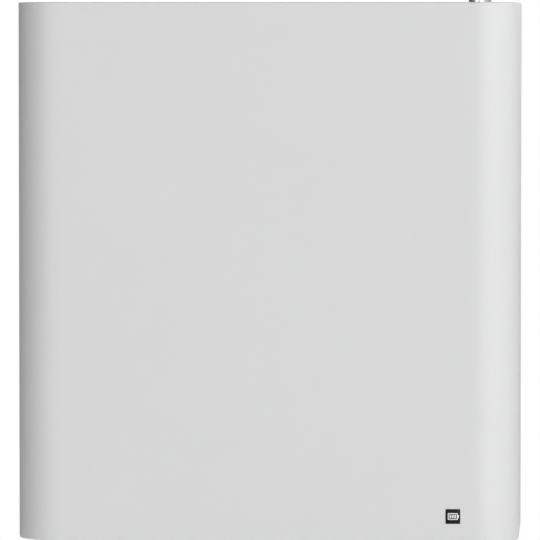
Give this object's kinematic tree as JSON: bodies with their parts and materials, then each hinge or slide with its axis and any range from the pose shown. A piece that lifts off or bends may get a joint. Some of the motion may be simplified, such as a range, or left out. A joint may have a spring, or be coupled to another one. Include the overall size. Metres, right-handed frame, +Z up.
{
  "type": "wall battery unit",
  "caption": "Wall-hung home battery with a smooth wrap-round front cover, top cable glands, a flapped breaker and a hook-on wall bracket.",
  "frame": {"origin": "centre of the wall bracket's anchor-hole pattern, on the wall plane", "axes": "+Z up, +Y into the wall, so the front faces -Y, and +X to the right seen from the front"},
  "size_m": [0.452, 0.2275, 0.4915],
  "materials": {
    "cover_paint": "fine-texture light grey powder coat",
    "housing_paint": "dark grey powder coat",
    "lid_paint": "light grey powder coat",
    "zinc_steel": "zinc plated",
    "stainless": "satin stainless steel",
    "cast_aluminium": "bare satin aluminium",
    "nickel_brass": "nickel plated brass",
    "copper": "bare copper, lightly brushed",
    "black_rubber": "matte rubber",
    "grey_foam": "closed-cell foam",
    "black_plastic": "fine moulded texture",
    "white_plastic": "fine moulded texture",
    "red_plastic": "moulded",
    "pouch_foil": "laminated foil",
    "circuit_board": "solder mask",
    "board_parts": "moulded packages",
    "lamp_lens": "diffusing plastic",
    "badge_black": "gloss black"
  },
  "bodies": {
    "wall_mount": {"wall_bracket": "zinc_steel"},
    "battery_pack": {"housing_tub": "housing_paint", "housing_back": "cast_aluminium", "rear_heat_sink": "cast_aluminium", "divider_shelf": "cast_aluminium", "hanging_hooks": "zinc_steel", "cell_bay_lid": "lid_paint", "wiring_bay_lid": "lid_paint", "lid_gaskets": "black_rubber", "lid_screws": "stainless", "cover_ball_studs": "stainless", "wall_spacers": "black_rubber", "carry_handle_left": "black_plastic", "carry_handle_right": "black_plastic", "back_screws": "stainless", "vent_valve": "black_plastic", "ground_stud": "stainless", "ground_nut": "stainless", "gland_bodies": "nickel_brass", "gland_nuts": "nickel_brass", "gland_seals": "black_rubber", "gland_locknuts": "nickel_brass", "cells_left": "pouch_foil", "cells_right": "pouch_foil", "cell_foam_pads": "grey_foam", "module_end_plates": "cast_aluminium", "module_tie_bands": "stainless", "floor_rails": "black_rubber", "hold_down_rails": "cast_aluminium", "cell_busbars": "copper", "sense_boards": "circuit_board", "bms_standoffs": "nickel_brass", "bms_board": "circuit_board", "bms_components": "board_parts", "bms_heat_spreader": "cast_aluminium", "main_contactors": "black_plastic", "precharge_relay": "black_plastic", "fuse_holder": "black_plastic", "main_fuse": "white_plastic", "current_shunt": "copper", "power_busbars": "copper", "terminal_block": "black_plastic", "terminal_studs": "stainless", "terminal_nuts": "stainless", "comms_board": "circuit_board", "comms_sockets": "stainless", "status_lens": "lamp_lens", "status_board": "circuit_board", "breaker_body": "white_plastic", "toggle_axle": "stainless", "breaker_tray": "black_plastic", "flap_hinge_pin": "stainless", "button_bezel": "stainless", "button_spring": "stainless"},
    "cover": {"front_cover": "cover_paint", "cover_clips": "black_plastic", "badge": "badge_black"},
    "flap": {"breaker_flap": "black_plastic"},
    "toggle": {"breaker_toggle": "red_plastic"},
    "button": {"power_button": "stainless"}
  },
  "joints": [
    {"name": "pack_lift", "type": "slide", "parent": "wall_mount", "child": "battery_pack", "axis": [0, 0, 1], "range_m": [0, 0.022]},
    {"name": "front_cover_pull", "type": "slide", "parent": "battery_pack", "child": "cover", "axis": [0, -1, 0], "range_m": [0, 0.2]},
    {"name": "breaker_flap_open", "type": "hinge", "parent": "battery_pack", "child": "flap", "pos_m": [0, -0.082, 0.114], "axis": [-1, 0, 0], "range_deg": [0, 110]},
    {"name": "breaker_toggle_swing", "type": "hinge", "parent": "battery_pack", "child": "toggle", "pos_m": [0, -0.12, 0.086], "axis": [1, 0, 0], "range_deg": [0, 70]},
    {"name": "power_button_press", "type": "slide", "parent": "battery_pack", "child": "button", "axis": [0, 0, -1], "range_m": [0, 0.0025], "stiffness_N_per_m": 800, "springref_m": -0.001, "deforming": ["button_spring"]}
  ]
}
